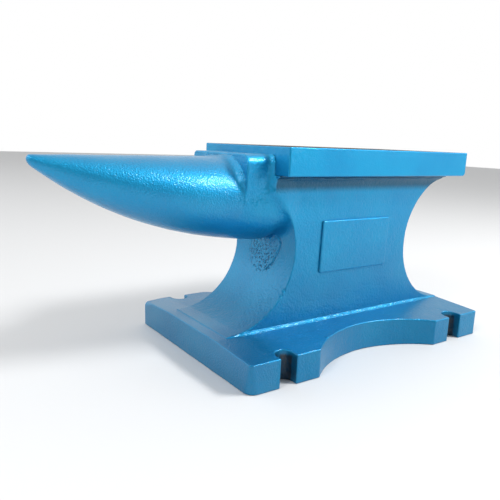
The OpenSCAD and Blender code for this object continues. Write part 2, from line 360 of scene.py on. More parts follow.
def base_solid(x, y, z):
    """The base: round corners, side arcs, four notches and a crowned top."""
    ax, ay = np.abs(x), np.abs(y)
    # One corner is worn rounder towards the floor, on the near side under the horn
    up_the_edge = np.clip(z / EDGE_T, 0, 1)
    worn_r = WORN_CORNER_R + (WORN_CORNER_TOP_R - WORN_CORNER_R) * up_the_edge
    corner_r = np.where((x < 0) & (y < 0), worn_r, CORNER_R)
    qx, qy = ax - (BASE_L / 2 - corner_r), ay - (BASE_W / 2 - corner_r)
    plan = np.hypot(np.maximum(qx, 0), np.maximum(qy, 0)) + np.minimum(np.maximum(qx, qy), 0)
    plan = plan - corner_r
    side_arc_y = BASE_W / 2 - SIDE_ARC_DEPTH + SIDE_ARC_R
    side_arc = SIDE_ARC_R - np.hypot(x - SIDE_ARC_X, ay - side_arc_y)
    notch_x = np.where(x < 0, HORN_NOTCH_X, HEEL_NOTCH_X)
    notch_r = np.where(x < 0, HORN_NOTCH_R, HEEL_NOTCH_R)
    notch_y = BASE_W / 2 - NOTCH_DEPTH + notch_r
    notch = notch_r - np.hypot(x - notch_x, np.minimum(ay - notch_y, 0))
    plan = round_cut(round_cut(plan, side_arc, ARRIS_R), notch, ARRIS_R)
    crown = z - EDGE_T - (BASE_W / 2 - ay) * slope_of(CROWN)
    top = np.maximum(crown * math.cos(math.radians(CROWN)), z - FOOT_Z)
    # One corner's top is dulled, on the far side under the horn
    from_corner = np.hypot(x + BASE_L / 2, y - BASE_W / 2)
    dulled = 1 - smooth_step(from_corner, *DULL_CORNER_REACH)
    edge_r = TOP_EDGE_R + (DULL_CORNER_R - TOP_EDGE_R) * dulled
    return round_cut(round_cut(plan, top, edge_r), -z, ARRIS_R)


def waist_solid(x, y, z, base):
    """The base with the waist on it: coved walls between the throat and the hollow."""
    ay = np.abs(y)
    foot_y = np.where(y > 0, FAR_FOOT_Y, FOOT_Y)
    wall = (ay - foot_y - (z - FOOT_Z) * slope_of(DRAFT)) * math.cos(math.radians(DRAFT))
    coved = np.maximum(round_union(wall, SEAT_Z - z, COVE_R), ay - COVE_Y)
    walls = round_union(base, coved, FOOT_FILLET_R)
    throat = ARC_R - np.hypot(x - THROAT_X, z - ARC_Z)
    hollow = ARC_R - np.hypot(x - HOLLOW_X, z - ARC_Z)
    low = z < ARC_Z
    front = np.where(low, THROAT_X, PLATE_FRONT) - x
    heel = x - np.where(low, BASE_L / 2 - 1, LIP_HEEL)
    profile = np.maximum(np.maximum(throat, hollow), np.maximum(front, heel))
    between_arcs = round_union(base, profile, TOE_R)
    return np.minimum(base, round_cut(walls, between_arcs, WAIST_EDGE_R))


def foot_bead(x, y, z):
    """A lumpy bead along the foot of each wall, thinning out towards the waist's tips."""
    ragged = noise(x / 2.2, y / 3 + 3, z / 3) * 0.4 + noise(x / 9, y / 20, 7.5 + 0 * z) * 0.15
    middle_y = np.where(y > 0, FAR_FOOT_Y, FOOT_Y) - FOOT_BEAD_SUNK
    grown = smooth_step(FOOT_BEAD_END - np.abs(x - FOOT_BEAD_X), 0, FOOT_BEAD_TAPER)
    radius = FOOT_BEAD_END_R + FOOT_BEAD_GROWTH * grown + ragged
    tube = np.hypot(np.abs(y) - middle_y, z - FOOT_Z + FOOT_BEAD_SUNK) - radius
    return round_cut(tube, np.abs(x - FOOT_BEAD_X) - FOOT_BEAD_END, 1.0)


def from_line(u, v, line):
    """Distance to a line of straight pieces."""
    nearest = np.full(np.shape(u), 1000.0)
    for (u0, v0), (u1, v1) in zip(line, line[1:]):
        du, dv = u1 - u0, v1 - v0
        along = np.clip(((u - u0) * du + (v - v0) * dv) / (du * du + dv * dv), 0, 1)
        nearest = np.minimum(nearest, np.hypot(u - u0 - along * du, v - v0 - along * dv))
    return nearest


def throat_relief(x, y, z):
    """The rough patch high in the throat, where sand has burnt on, and the crack beside it."""
    spread = np.hypot((y - PATCH_Y) / PATCH_HALF_W, (z - PATCH_Z) / PATCH_HALF_H)
    patch = 1 - smooth_step(spread + 0.22 * noise(y / 7, z / 7, x / 9 + 4), 0.75, 1.05)
    streaks = noise(y / 2.2, z / 9, x / 8 + 9.5)
    grit = noise(y / 2.4 + 11, z / 2.6, x / 3)
    ragged = 1.3 * noise(y / 3 + 7, z / 3, x / 5)
    crack = 1 - smooth_step(from_line(y, z, THROAT_CRACK) + ragged, 0.2, 1.5)
    return patch * (0.14 * streaks + 0.2 * grit) - CRACK_DEPTH * crack


def relief(x, y, z):
    """How far the cast surface stands proud of its design."""
    # The skin lies 0.2 mm low, which keeps its waves inside the frame's boxes
    proud = 0.12 * noise(x / 23, y / 23, z / 23) + 0.07 * noise(x / 9 + 5, y / 9, z / 9) - 0.2
    in_throat = (x < -60) & (x > -100) & (np.abs(y) < 40) & (z > 60) & (z < 135)
    if in_throat.any():
        proud[in_throat] += throat_relief(x[in_throat], y[in_throat], z[in_throat])
    groove_z = GROOVE_Z + GROOVE_WANDER * noise(x / 13, 2.5 + 0 * x, 0 * x)
    from_groove = np.abs(z - groove_z) / GROOVE_HALF_W
    cove = (np.abs(y) > 50) & (x > PLATE_FRONT) & (x < LIP_HEEL)
    proud -= np.where(cove, GROOVE_DEPTH * (1 - smooth_step(from_groove, 0, 1)), 0)
    for pit_x, pit_y, pit_z, depth, reach in PITS:
        away = np.sqrt((x - pit_x) ** 2 + (y - pit_y) ** 2 + (z - pit_z) ** 2)
        proud -= depth * (1 - smooth_step(away, 0.25 * reach, reach))
    return proud


def hole_field(x, y, z):
    """The square hardy hole and the round pritchel hole, without ends, above the hollow."""
    hardy = np.maximum(np.abs(x - HARDY_X), np.abs(y)) - HARDY_HALF_W
    pritchel = np.hypot(x - PRITCHEL_X, y - PRITCHEL_Y) - PRITCHEL_R
    return np.maximum(np.minimum(hardy, pritchel), ARC_Z - z)


def casting(p):
    """Signed distance to the whole casting: base, waist, neck, step and horn."""
    x, y, z = p.T
    base = base_solid(x, y, z)
    lower = waist_solid(x, y, z, base)
    lower = np.minimum(lower, foot_bead(x, y, z))
    bar, _, _ = swelling_bar(x, y, z)
    neck = round_cut(bar, x - NECK_END_X, NECK_END_R)
    neck = np.maximum(np.maximum(neck, ROOT_X - x), z - NECK_HIGH_Z)
    lower = round_union(lower, neck, NECK_BLEND_R)
    lower = np.maximum(lower, np.minimum(z - SEAT_Z, x - PLATE_FRONT))
    upper = round_union(lower, step_solid(x, y, z), STEP_BLEND_R)
    whole = np.minimum(upper, horn_solid(x, y, z))
    whole = np.maximum(whole, np.minimum(z - SEAT_Z, x - PLATE_FRONT))
    whole = np.maximum(whole, -hole_field(x, y, z))
    near = np.abs(whole) < 4
    whole[near] -= relief(x[near], y[near], z[near])
    return np.maximum(whole, -z)


def face_plate(p):
    """Signed distance to the face plate, with soft edges and a rounder one under the heel."""
    x, y, z = p.T
    middle_x, half_l = (PLATE_FRONT + PLATE_HEEL) / 2, (PLATE_HEEL - PLATE_FRONT) / 2
    ends = np.abs(x - middle_x) - half_l
    sides = np.abs(y) - PLATE_HALF_W
    plan = round_cut(ends, sides, PLATE_CORNER_R)
    plan = round_cut(plan, x - PLATE_HEEL, PLATE_HEEL_R)
    slab = round_cut(plan, z - FACE_Z, FACE_EDGE_R)
    slab = round_cut(slab, SEAT_Z - z, SEAT_EDGE_R)
    heel_edge = round_cut(x - PLATE_HEEL, SEAT_Z - z, HEEL_EDGE_R)
    solid = round_cut(np.maximum(slab, heel_edge), -hole_field(x, y, z), HOLE_EDGE_R)
    near = np.abs(solid) < 3
    rough = 1 - smooth_step(x[near], PLATE_FRONT, PLATE_FRONT + 60)
    wave = 0.04 * noise(x[near] / 15, y[near] / 15, z[near] / 15)
    solid[near] -= wave + 0.1 * rough * noise(x[near] / 4, y[near] / 4, z[near] / 4)
    return np.maximum(solid, z - FACE_Z)


def raised_pad(p):
    """Signed distance to the pad on the near wall, leaning with it."""
    x, y, z = p.T
    wall = -y - FOOT_Y - (z - FOOT_Z) * slope_of(DRAFT)
    middle_x, half_l = (pad_low[0] + pad_high[0]) / 2, (pad_high[0] - pad_low[0]) / 2
    middle_z, half_h = (pad_low[2] + pad_high[2]) / 2, (pad_high[2] - pad_low[2]) / 2
    qx = np.abs(x - middle_x) - half_l + PAD_CORNER_R
    qz = np.abs(z - middle_z) - half_h + PAD_CORNER_R
    plan = np.hypot(np.maximum(qx, 0), np.maximum(qz, 0)) + np.minimum(np.maximum(qx, qz), 0)
    slab = round_cut(plan - PAD_CORNER_R, wall - PAD_PROUD, PAD_EDGE_R)
    solid = np.maximum(slab, -wall - PAD_SUNK)
    return solid - 0.05 * noise(x / 9 + 5, y / 9, z / 9)


def in_chunks(field, points):
    """The field's values at any number of points."""
    parts = [field(points[i:i + CHUNK]) for i in range(0, len(points), CHUNK)]
    return np.concatenate(parts) if parts else np.zeros(0)


def gradient(field, points, step=0.25):
    """The field's slope, by central differences."""
    slopes = []
    for axis in range(3):
        shift = np.zeros(3)
        shift[axis] = step
        rise = in_chunks(field, points + shift) - in_chunks(field, points - shift)
        slopes.append(rise / (2 * step))
    return np.stack(slopes, axis=1)


def sampled(field, low, cell, blocks):
    """Field values on a lattice. Only blocks that the surface can cross are worked out finely."""
    span = BLOCK * cell
    corners = np.meshgrid(*[np.arange(n) for n in blocks], indexing="ij")
    corners = np.stack(corners, axis=-1).reshape(-1, 3)
    coarse = in_chunks(field, low + (corners + 0.5) * span)
    far = 1000.0
    grid = np.where(coarse.reshape(blocks) > 0, far, -far).astype(np.float32)
    for axis in range(3):
        grid = np.repeat(grid, BLOCK, axis=axis)
    fine = np.stack(np.meshgrid(*[np.arange(BLOCK)] * 3, indexing="ij"), axis=-1).reshape(-1, 3)
    # Half a block's diagonal, and a quarter more because the field isn't a true distance
    crossed = corners[np.abs(coarse) < span * math.sqrt(3) / 2 * 1.25]
    per_chunk = max(1, CHUNK // len(fine))
    for start in range(0, len(crossed), per_chunk):
        index = (crossed[start:start + per_chunk, None, :] * BLOCK + fine[None]).reshape(-1, 3)
        grid[index[:, 0], index[:, 1], index[:, 2]] = field(low + index * cell)
    return grid


def surface_net(grid, low, cell):
    """Corners and four-sided faces of the surface where the grid's values change sign."""
    inside = grid < 0
    cells = np.array(grid.shape) - 1
    count = np.zeros(cells, np.int8)
    offsets = [(i, j, k) for i in (0, 1) for j in (0, 1) for k in (0, 1)]
    for i, j, k in offsets:
        count += inside[i:cells[0] + i, j:cells[1] + j, k:cells[2] + k]
    active = np.argwhere((count > 0) & (count < 8))
    number = np.full(cells, -1, np.int32)
    number[tuple(active.T)] = np.arange(len(active))
    total, crossings = np.zeros((len(active), 3)), np.zeros(len(active))
    for axis in range(3):
        for corner in [o for o in offsets if o[axis] == 0]:
            start = active + corner
            end = start.copy()
            end[:, axis] += 1
            a = grid[tuple(start.T)].astype(float)
            b = grid[tuple(end.T)].astype(float)
            crossed = (a < 0) != (b < 0)
            share = a[crossed] / (a[crossed] - b[crossed])
            total[crossed] += start[crossed]
            total[crossed, axis] += share
            crossings[crossed] += 1
    points = low + total / crossings[:, None] * cell
    faces = []
    for axis in range(3):
        u, v = np.eye(3, dtype=int)[(axis + 1) % 3], np.eye(3, dtype=int)[(axis + 2) % 3]
        here = inside[tuple(slice(0, -1) if a == axis else slice(None) for a in range(3))]
        ahead = inside[tuple(slice(1, None) if a == axis else slice(None) for a in range(3))]
        edges = np.argwhere(here != ahead)
        leaving = here[tuple(edges.T)]
        ring = [edges - u - v, edges - v, edges, edges - u]
        quad = np.stack([number[tuple(corner.T)] for corner in ring], axis=1)
        quad[~leaving] = quad[~leaving][:, ::-1]
        faces.append(quad)
    return points, np.concatenate(faces)


def drawn_onto(field, points, reach, rounds=3):
    """Points moved along the field's slope onto its zero level, by no more than reach a round."""
    for _ in range(rounds):
        slope = gradient(field, points)
        steep = np.maximum((slope ** 2).sum(1), 0.05)
        move = -in_chunks(field, points)[:, None] * slope / steep[:, None]
        size = np.maximum(np.linalg.norm(move, axis=1, keepdims=True), 1e-9)
        points = points + move * np.minimum(1, reach / size)
    return points


def new_object(name, mesh):
    """An object for a mesh, camera or light, in the scene."""
    made = bpy.data.objects.new(name, mesh)
    bpy.context.scene.collection.objects.link(made)
    return made


def evaluated(source, name):
    """A plain mesh object of another one with its modifiers applied. The other is removed."""
    graph = bpy.context.evaluated_depsgraph_get()
    mesh = bpy.data.meshes.new_from_object(source.evaluated_get(graph))
    mesh.name = name
    bpy.data.objects.remove(source)
    return new_object(name, mesh)


def meshed(name, field, box_low, box_high, cell, triangles):
    """A closed mesh of the field's zero level, thinned to about that many triangles."""
    low = np.array(box_low, float) - 2.3 * cell
    span = np.array(box_high) + 2 * cell - low
    blocks = tuple(int(n) for n in np.ceil(span / (BLOCK * cell)))
    grid = sampled(field, low, cell, blocks)
    points, faces = surface_net(grid, low, cell)
    points = drawn_onto(field, points, cell)
    mesh = bpy.data.meshes.new(name)
    mesh.from_pydata((points * MM).tolist(), [], faces.tolist())
    rough = new_object(name + "_net", mesh)
    thin = rough.modifiers.new("thin", "DECIMATE")
    thin.ratio = min(1.0, triangles / (2 * len(faces)))
    thinned = evaluated(rough, name)
    # Thinning moves corners a little, so they are held in the piece's own box
    co = np.zeros(len(thinned.data.vertices) * 3)
    thinned.data.vertices.foreach_get("co", co)
    held = np.clip(co.reshape(-1, 3), np.array(box_low) * MM, np.array(box_high) * MM)
    thinned.data.vertices.foreach_set("co", held.ravel())
    thinned.data.update()
    return thinned


def shade_by(obj, field):
    """Smooth shading with the field's own normals. Faces on a cut keep their flat ones."""
    mesh = obj.data
    mesh.shade_smooth()
    co = np.zeros(len(mesh.vertices) * 3)
    mesh.vertices.foreach_get("co", co)
    slope = gradient(field, co.reshape(-1, 3) / MM)
    slope /= np.maximum(np.linalg.norm(slope, axis=1, keepdims=True), 1e-9)
    corner_vertex = np.zeros(len(mesh.loops), np.int32)
    mesh.loops.foreach_get("vertex_index", corner_vertex)
    normals = slope[corner_vertex]
    flat = np.zeros(len(mesh.polygons) * 3)
    mesh.polygons.foreach_get("normal", flat)
    totals = np.zeros(len(mesh.polygons), np.int32)
    mesh.polygons.foreach_get("loop_total", totals)
    face_normals = np.repeat(flat.reshape(-1, 3), totals, axis=0)
    # Where the field's slope turns away from the face, as on a cap or a fold, the face's holds
    off = (normals * face_normals).sum(1) < 0.3
    normals[off] = face_normals[off]
    mesh.normals_split_custom_set(normals.tolist())


def split_at(obj, x, front_name, back_name):
    """Two closed pieces, in front of and behind the plane across the anvil at x."""
    pieces = []
    for name, inner in ((front_name, False), (back_name, True)):
        work = bmesh.new()
        work.from_mesh(obj.data)
        geometry = work.verts[:] + work.edges[:] + work.faces[:]
        cut = bmesh.ops.bisect_plane(
            work, geom=geometry, dist=1e-7, plane_co=(x * MM, 0, 0), plane_no=(1, 0, 0),
            clear_inner=inner, clear_outer=not inner)
        rim = [e for e in cut["geom_cut"] if isinstance(e, bmesh.types.BMEdge)]
        cap = bmesh.ops.holes_fill(work, edges=rim, sides=0)["faces"]
        bmesh.ops.triangulate(work, faces=cap)
        mesh = bpy.data.meshes.new(name)
        work.to_mesh(mesh)
        work.free()
        pieces.append(new_object(name, mesh))
    bpy.data.objects.remove(obj)
    return pieces


def add_node(tree, kind, inputs=None, **settings):
    """A node with its settings and its inputs, each a value or the socket that feeds it."""
    made = tree.nodes.new(kind)
    for name, value in settings.items():
        setattr(made, name, value)
    for name, value in (inputs or {}).items():
        socket = made.inputs[name]
        if isinstance(value, bpy.types.NodeSocket):
            tree.links.new(value, socket)
        else:
            socket.default_value = value
    return made


def weld_tree():
    """Geometry nodes that lay a rippled weld bead along a straight seam."""
    tree = bpy.data.node_groups.new("weld_bead", "GeometryNodeTree")
    tree.interface.new_socket("Bead", in_out="OUTPUT", socket_type="NodeSocketGeometry")
    for name, kind in (
            ("Start", "NodeSocketVector"), ("End", "NodeSocketVector"),
            ("Radius", "NodeSocketFloat"), ("Ripple Length", "NodeSocketFloat"),
            ("Ripple Height", "NodeSocketFloat"), ("Wander", "NodeSocketFloat"),
            ("Seed", "NodeSocketFloat"), ("Material", "NodeSocketMaterial")):
        tree.interface.new_socket(name, in_out="INPUT", socket_type=kind)
    asked = add_node(tree, "NodeGroupInput").outputs
    seam = add_node(
        tree, "GeometryNodeCurvePrimitiveLine", {"Start": asked["Start"], "End": asked["End"]})
    points = add_node(
        tree, "GeometryNodeResampleCurve",
        {"Curve": seam.outputs["Curve"], "Length": 0.5 * MM}, mode="LENGTH")
    place = add_node(tree, "GeometryNodeInputPosition").outputs[0]
    along = add_node(tree, "ShaderNodeSeparateXYZ", {0: place}).outputs["X"]
    # The bead wanders off the seam a little, as a hand does
    drift = add_node(
        tree, "ShaderNodeTexNoise",
        {"Vector": place, "W": asked["Seed"], "Scale": 120.0, "Detail": 2.0},
        noise_dimensions="4D")
    centred = add_node(
        tree, "ShaderNodeVectorMath", {0: drift.outputs["Color"], 1: (0.5, 0.5, 0.5)},
        operation="SUBTRACT")
    wander = add_node(
        tree, "ShaderNodeVectorMath", {0: centred.outputs[0], "Scale": asked["Wander"]},
        operation="SCALE")
    wandered = add_node(
        tree, "GeometryNodeSetPosition",
        {"Geometry": points.outputs["Curve"], "Offset": wander.outputs[0]})
    # Each ripple is half a sine wave, and no two are as high
    turn = add_node(
        tree, "ShaderNodeMath", {0: along, 1: asked["Ripple Length"]}, operation="DIVIDE")
    swing = add_node(
        tree, "ShaderNodeMath", {0: turn.outputs[0], 1: math.pi}, operation="MULTIPLY")
    wave = add_node(tree, "ShaderNodeMath", {0: swing.outputs[0]}, operation="SINE")
    ripple = add_node(tree, "ShaderNodeMath", {0: wave.outputs[0]}, operation="ABSOLUTE")
    uneven = add_node(
        tree, "ShaderNodeTexNoise",
        {"Vector": place, "W": asked["Seed"], "Scale": 260.0, "Detail": 3.0},
        noise_dimensions="4D")
    share = add_node(
        tree, "ShaderNodeMath", {0: ripple.outputs[0], 1: uneven.outputs["Fac"]},
        operation="MULTIPLY")
    radius = add_node(
        tree, "ShaderNodeMath",
        {0: share.outputs[0], 1: asked["Ripple Height"], 2: asked["Radius"]},
        operation="MULTIPLY_ADD")
    ring = add_node(
        tree, "GeometryNodeCurvePrimitiveCircle", {"Resolution": 14, "Radius": 1.0})
    tube = add_node(tree, "GeometryNodeCurveToMesh", {
        "Curve": wandered.outputs[0], "Profile Curve": ring.outputs["Curve"],
        "Scale": radius.outputs[0], "Fill Caps": True})
    real = add_node(tree, "GeometryNodeRealizeInstances", {"Geometry": tube.outputs[0]})
    painted = add_node(
        tree, "GeometryNodeSetMaterial",
        {"Geometry": real.outputs[0], "Material": asked["Material"]})
    add_node(tree, "NodeGroupOutput", {"Bead": painted.outputs[0]})
    return tree


def weld_bead(tree, name, side, material):
    """One bead, in the corner of the casting's lip and the plate. Side is -1 near and 1 far."""
    carrier = new_object(name + "_seam", bpy.data.meshes.new(name + "_seam"))
    bead = carrier.modifiers.new("bead", "NODES")
    bead.node_group = tree
    inset = BEAD_R + BEAD_END_GAP
    seam_y, seam_z = side * (weld_high[1] - BEAD_SIDE_GAP), SEAT_Z + BEAD_ABOVE_SEAT
    values = {
        "Start": ((weld_low[0] + inset) * MM, seam_y * MM, seam_z * MM),
        "End": ((weld_high[0] - inset) * MM, seam_y * MM, seam_z * MM),
        "Radius": BEAD_R * MM,
        "Ripple Length": RIPPLE_L * MM,
        "Ripple Height": RIPPLE_H * MM,
        "Wander": BEAD_WANDER * MM,
        "Seed": 4.0 + side,
        "Material": material}
    for item in tree.interface.items_tree:
        if item.in_out == "INPUT":
            bead[item.identifier] = values[item.name]
    made = evaluated(carrier, name)
    made.data.shade_smooth()
    return made


def linear(hex_code):
    """An sRGB hex colour as linear red, green, blue and alpha."""
    parts = [int(hex_code[i:i + 2], 16) / 255 for i in (1, 3, 5)]
    light = [c / 12.92 if c <= 0.04045 else ((c + 0.055) / 1.055) ** 2.4 for c in parts]
    return tuple(light) + (1.0,)


def new_material(name):
    """An empty material and its tree."""
    material = bpy.data.materials.new(name)
    material.use_nodes = True
    material.node_tree.nodes.clear()
    return material, material.node_tree


def per_metre(grain_mm):
    """Features per metre for a pattern whose grains are so many millimetres wide."""
    return 1 / (grain_mm * MM)


def soft_band(tree, value, low, high, softness):
    """1 where the value is between low and high, all in millimetres, and 0 outside."""
    rise = add_node(tree, "ShaderNodeMapRange", {
        "Value": value,
        "From Min": (low - softness) * MM,
        "From Max": (low + softness) * MM}, interpolation_type="SMOOTHSTEP")
    fall = add_node(tree, "ShaderNodeMapRange", {
        "Value": value,
        "From Min": (high - softness) * MM,
        "From Max": (high + softness) * MM,
        "To Min": 1.0,
        "To Max": 0.0}, interpolation_type="SMOOTHSTEP")
    return add_node(
        tree, "ShaderNodeMath", {0: rise.outputs[0], 1: fall.outputs[0]},
        operation="MULTIPLY").outputs[0]


def enamel_coat(tree, place, colour, peel_mm, peel, wave_share=0.8, bump_more=None, lacquer=0.5):
    """Metallic enamel over a bumpy ground. The sand's grain shows through as orange peel."""
    grain = add_node(
        tree, "ShaderNodeTexNoise",
        {"Vector": place, "Scale": per_metre(peel_mm), "Detail": 2.0}).outputs["Fac"]
    wave = add_node(
        tree, "ShaderNodeTexNoise",
        {"Vector": place, "Scale": per_metre(11), "Detail": 1.0}).outputs["Fac"]
    height = add_node(
        tree, "ShaderNodeMath", {0: wave, 1: wave_share, 2: grain},
        operation="MULTIPLY_ADD").outputs[0]
    if bump_more:
        height = add_node(
            tree, "ShaderNodeMath", {0: height, 1: bump_more}, operation="ADD").outputs[0]
    bump = add_node(
        tree, "ShaderNodeBump", {"Height": height, "Strength": peel, "Distance": 0.6 * MM})
    gloss = add_node(
        tree, "ShaderNodeMapRange", {"Value": grain, "To Min": 0.44, "To Max": 0.56})
    shader = add_node(tree, "ShaderNodeBsdfPrincipled", {
        "Base Color": colour,
        "Metallic": 0.85,
        "Roughness": gloss.outputs[0],
        "Coat Weight": lacquer,
        "Coat Roughness": 0.1,
        "Coat IOR": 1.45,
        "Normal": bump.outputs[0],
        "Coat Normal": bump.outputs[0]})
    add_node(tree, "ShaderNodeOutputMaterial", {"Surface": shader.outputs[0]})


def drifting_blue(tree, place):
    """The enamel's own colour, thicker in some places than in others, with painted shade that
    darkens it towards the floor.
    """
    drift = add_node(
        tree, "ShaderNodeTexNoise", {"Vector": place, "Scale": per_metre(55), "Detail": 3.0})
    blue = add_node(
        tree, "ShaderNodeMix",
        {0: drift.outputs["Fac"], 6: linear(PAINT_DEEP), 7: linear(PAINT_BRIGHT)},
        data_type="RGBA").outputs[2]
    # Painted shade that darkens the blue towards the floor
    height = add_node(tree, "ShaderNodeSeparateXYZ", {0: place}).outputs["Z"]
    low_shade_share = add_node(tree, "ShaderNodeMapRange", {
        "Value": height,
        "From Min": LOW_SHADE_FULL_Z * MM,
        "From Max": LOW_SHADE_GONE_Z * MM,
        "To Min": 1.0,
        "To Max": 0.0}).outputs[0]
    return add_node(
        tree, "ShaderNodeMix", {0: low_shade_share, 6: blue, 7: linear(PAINTED_LOW_SHADE)},
        data_type="RGBA", blend_type="MULTIPLY").outputs[2]


def painted_cove_shade(tree, axes, across):
    """The share of painted shade in the coves under the plate, where its overhang shades the wall.
    """
    high_up = soft_band(tree, axes["Z"], PAINTED_COVE_SHADE_Z, 200, 4.5)
    outside = soft_band(tree, across, PAINTED_COVE_SHADE_Y, COVE_Y + 6, 1.0)
    behind = soft_band(tree, axes["X"], PLATE_FRONT + 1, 200, 1.0)
    share = 0.8
    for limit in (high_up, outside, behind):
        share = add_node(
            tree, "ShaderNodeMath", {0: limit, 1: share}, operation="MULTIPLY").outputs[0]
    return share


def notch_shade_share(tree, axes, across):
    """The share of painted shade on the walls of the four notches."""
    horn_notch, heel_notch = [
        soft_band(tree, axes["X"], x - r - NOTCH_MARGIN, x + r + NOTCH_MARGIN, 0.25)
        for x, r in ((HORN_NOTCH_X, HORN_NOTCH_R), (HEEL_NOTCH_X, HEEL_NOTCH_R))]
    along = add_node(
        tree, "ShaderNodeMath", {0: horn_notch, 1: heel_notch}, operation="ADD").outputs[0]
    inwards = soft_band(tree, across, BASE_W / 2 - NOTCH_DEPTH - NOTCH_MARGIN, 120, 0.25)
    below = soft_band(tree, axes["Z"], -5, EDGE_T - 3.5, 2.0)
    share = 0.92
    for limit in (along, inwards, below):
        share = add_node(
            tree, "ShaderNodeMath", {0: limit, 1: share}, operation="MULTIPLY").outputs[0]
    return share


def throat_pits(tree, place, along):
    """Where the throat's rough patch is pitted: 1 in a pit and 0 beside it."""
    centred = add_node(
        tree, "ShaderNodeVectorMath", {0: place, 1: (0, PATCH_Y * MM, PATCH_Z * MM)},
        operation="SUBTRACT").outputs[0]
    scaled = add_node(
        tree, "ShaderNodeVectorMath",
        {0: centred, 1: (0, per_metre(PATCH_HALF_W), per_metre(PATCH_HALF_H))},
        operation="MULTIPLY").outputs[0]
    spread = add_node(
        tree, "ShaderNodeVectorMath", {0: scaled}, operation="LENGTH").outputs["Value"]
    ragged = add_node(
        tree, "ShaderNodeTexNoise",
        {"Vector": place, "Scale": per_metre(8), "Detail": 3.0}).outputs["Fac"]
    edge = add_node(
        tree, "ShaderNodeMath", {0: ragged, 1: 0.7, 2: spread},
        operation="MULTIPLY_ADD").outputs[0]
    patch = add_node(tree, "ShaderNodeMapRange", {
        "Value": edge, "From Min": 1.1, "From Max": 1.4, "To Min": 1.0, "To Max": 0.0},
        interpolation_type="SMOOTHSTEP").outputs[0]
    front = soft_band(tree, along, -110, -60, 1.0)
    patch = add_node(
        tree, "ShaderNodeMath", {0: patch, 1: front}, operation="MULTIPLY").outputs[0]
    # Pits a millimetre across, two to three apart
    cell = add_node(
        tree, "ShaderNodeTexVoronoi",
        {"Vector": place, "Scale": per_metre(2.4), "Randomness": 1.0}).outputs["Distance"]
    pit = add_node(tree, "ShaderNodeMapRange", {
        "Value": cell, "From Min": 0.2, "From Max": 0.42, "To Min": 1.0, "To Max": 0.0})
    return add_node(
        tree, "ShaderNodeMath", {0: pit.outputs[0], 1: patch}, operation="MULTIPLY").outputs[0]


def casting_enamel():
    """Enamel on the sand casting, with painted shade in the coves under the plate, in the notches
    and in the throat's pits.
    """
    material, tree = new_material("enamel_on_sand_casting")
    place = add_node(tree, "ShaderNodeTexCoord").outputs["Object"]
    axes = add_node(tree, "ShaderNodeSeparateXYZ", {0: place}).outputs
    across = add_node(tree, "ShaderNodeMath", {0: axes["Y"]}, operation="ABSOLUTE").outputs[0]
    # The notches' walls get painted shade: dark blue, mottled with brown
    mottle_noise = add_node(
        tree, "ShaderNodeTexNoise", {"Vector": place, "Scale": per_metre(7), "Detail": 4.0})
    brown_mottle = add_node(
        tree, "ShaderNodeMapRange",
        {"Value": mottle_noise.outputs["Fac"], "From Min": 0.42, "From Max": 0.62}).outputs[0]
    # The notches' painted shade colour
    iron = add_node(
        tree, "ShaderNodeMix", {0: brown_mottle, 6: linear(NOTCH_SHADE_BLUE), 7: linear(NOTCH_BROWN)},
        data_type="RGBA").outputs[2]
    pits = throat_pits(tree, place, axes["X"])
    pit_shade = add_node(
        tree, "ShaderNodeMath", {0: pits, 1: 0.55}, operation="MULTIPLY").outputs[0]
    colour = drifting_blue(tree, place)
    for share, over in (
            (painted_cove_shade(tree, axes, across), linear(PAINTED_COVE_SHADE)),
            (notch_shade_share(tree, axes, across), iron),
            (pit_shade, linear(PIT_SHADE))):
        colour = add_node(
            tree, "ShaderNodeMix", {0: share, 6: colour, 7: over}, data_type="RGBA").outputs[2]
    sunk = add_node(
        tree, "ShaderNodeMath", {0: pits, 1: -1.2}, operation="MULTIPLY").outputs[0]
    enamel_coat(tree, place, colour, peel_mm=2.4, peel=1.0, bump_more=sunk)
    return material


def smooth_enamel(name, peel, lacquer=0.5):
    """The same enamel on ground or planed iron, which lies flatter."""
    material, tree = new_material(name)
    place = add_node(tree, "ShaderNodeTexCoord").outputs["Object"]
    colour = drifting_blue(tree, place)
    enamel_coat(tree, place, colour, peel_mm=1.5, peel=peel, wave_share=0.3, lacquer=lacquer)
    return material


def browned_steel():
    """Machined steel that has browned under oil: the face has no paint, and hardly shines."""
    material, tree = new_material("browned_steel")
    place = add_node(tree, "ShaderNodeTexCoord").outputs["Object"]
    stretch = add_node(tree, "ShaderNodeMapping", {"Vector": place, "Scale": (1, 14, 1)})
    # Tool marks a few tenths apart, drawn at 1 mm so that they show
    lines = add_node(
        tree, "ShaderNodeTexNoise",
        {"Vector": stretch.outputs[0], "Scale": per_metre(14), "Detail": 4.0}).outputs["Fac"]
    stain = add_node(
        tree, "ShaderNodeTexNoise", {"Vector": place, "Scale": per_metre(30), "Detail": 5.0})
    colour = add_node(
        tree, "ShaderNodeMix",
        {0: stain.outputs["Fac"], 6: linear(STEEL_DARK), 7: linear(STEEL_PALE)},
        data_type="RGBA")
    bump = add_node(
        tree, "ShaderNodeBump", {"Height": lines, "Strength": 0.3, "Distance": 0.05 * MM})
    rough = add_node(
        tree, "ShaderNodeMapRange", {"Value": lines, "To Min": 0.7, "To Max": 0.85})
    shader = add_node(tree, "ShaderNodeBsdfPrincipled", {
        "Base Color": colour.outputs[2],
        "Metallic": 0.12,
        "Roughness": rough.outputs[0],
        "Specular IOR Level": 0.1,
        "Normal": bump.outputs[0]})
    add_node(tree, "ShaderNodeOutputMaterial", {"Surface": shader.outputs[0]})
    return material


def bare_top(obj, material):
    """Gives the faces of the working face their own material."""
    obj.data.materials.append(material)
    for face in obj.data.polygons:
        if face.normal.z > 0.9 and face.center.z > (FACE_Z - 0.2) * MM:
            face.material_index = 1


def hand_over(obj, node):
    """Hands a piece to the frame."""
    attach(obj, "root")
    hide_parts(node)


